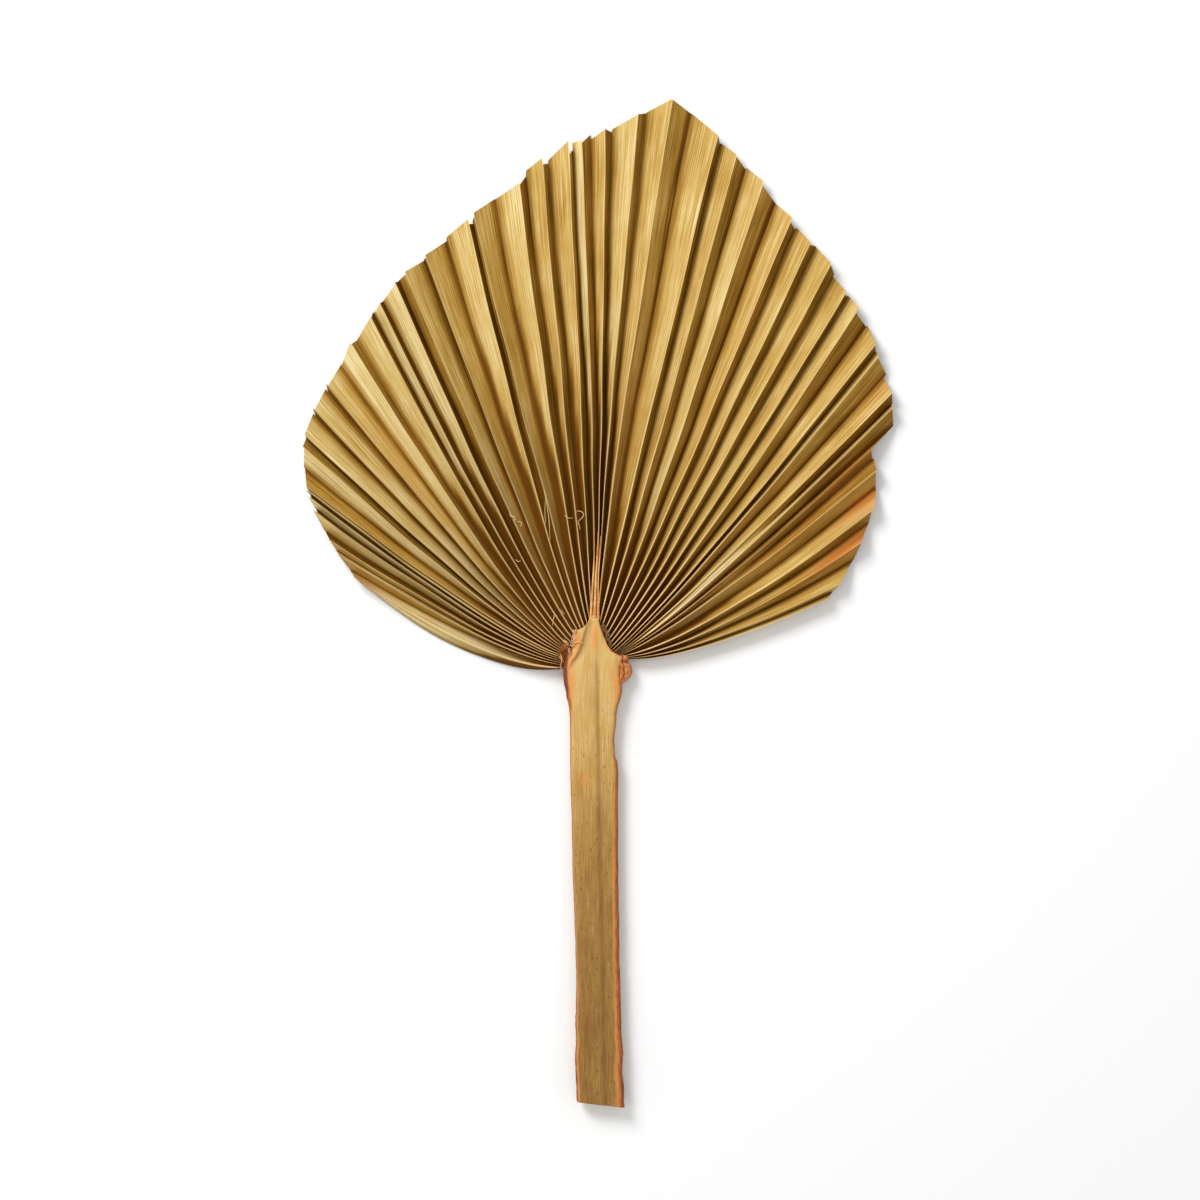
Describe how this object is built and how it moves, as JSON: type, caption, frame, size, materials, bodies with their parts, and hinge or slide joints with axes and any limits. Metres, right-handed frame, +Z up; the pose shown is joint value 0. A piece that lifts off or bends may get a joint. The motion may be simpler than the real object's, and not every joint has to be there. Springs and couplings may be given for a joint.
{
  "type": "fan palm leaf",
  "caption": "Dried fan palm leaf lying flat: a pleated, heart-shaped blade trimmed to a point, joined by a tongued head to a straight cut stalk.",
  "frame": {"origin": "middle of the leaf's box in plan, on the surface that the leaf lies on", "axes": "+Y from the stalk's cut end to the leaf's tip, +Z up out of the leaf's upper side, +X to the right seen from above"},
  "size_m": [0.2926, 0.5002, 0.0096],
  "materials": {
    "leaf_blade": "satin",
    "leaf_stalk": "satin"
  },
  "bodies": {
    "root": {"blade": "leaf_blade", "stalk": "leaf_stalk"}
  },
  "joints": []
}
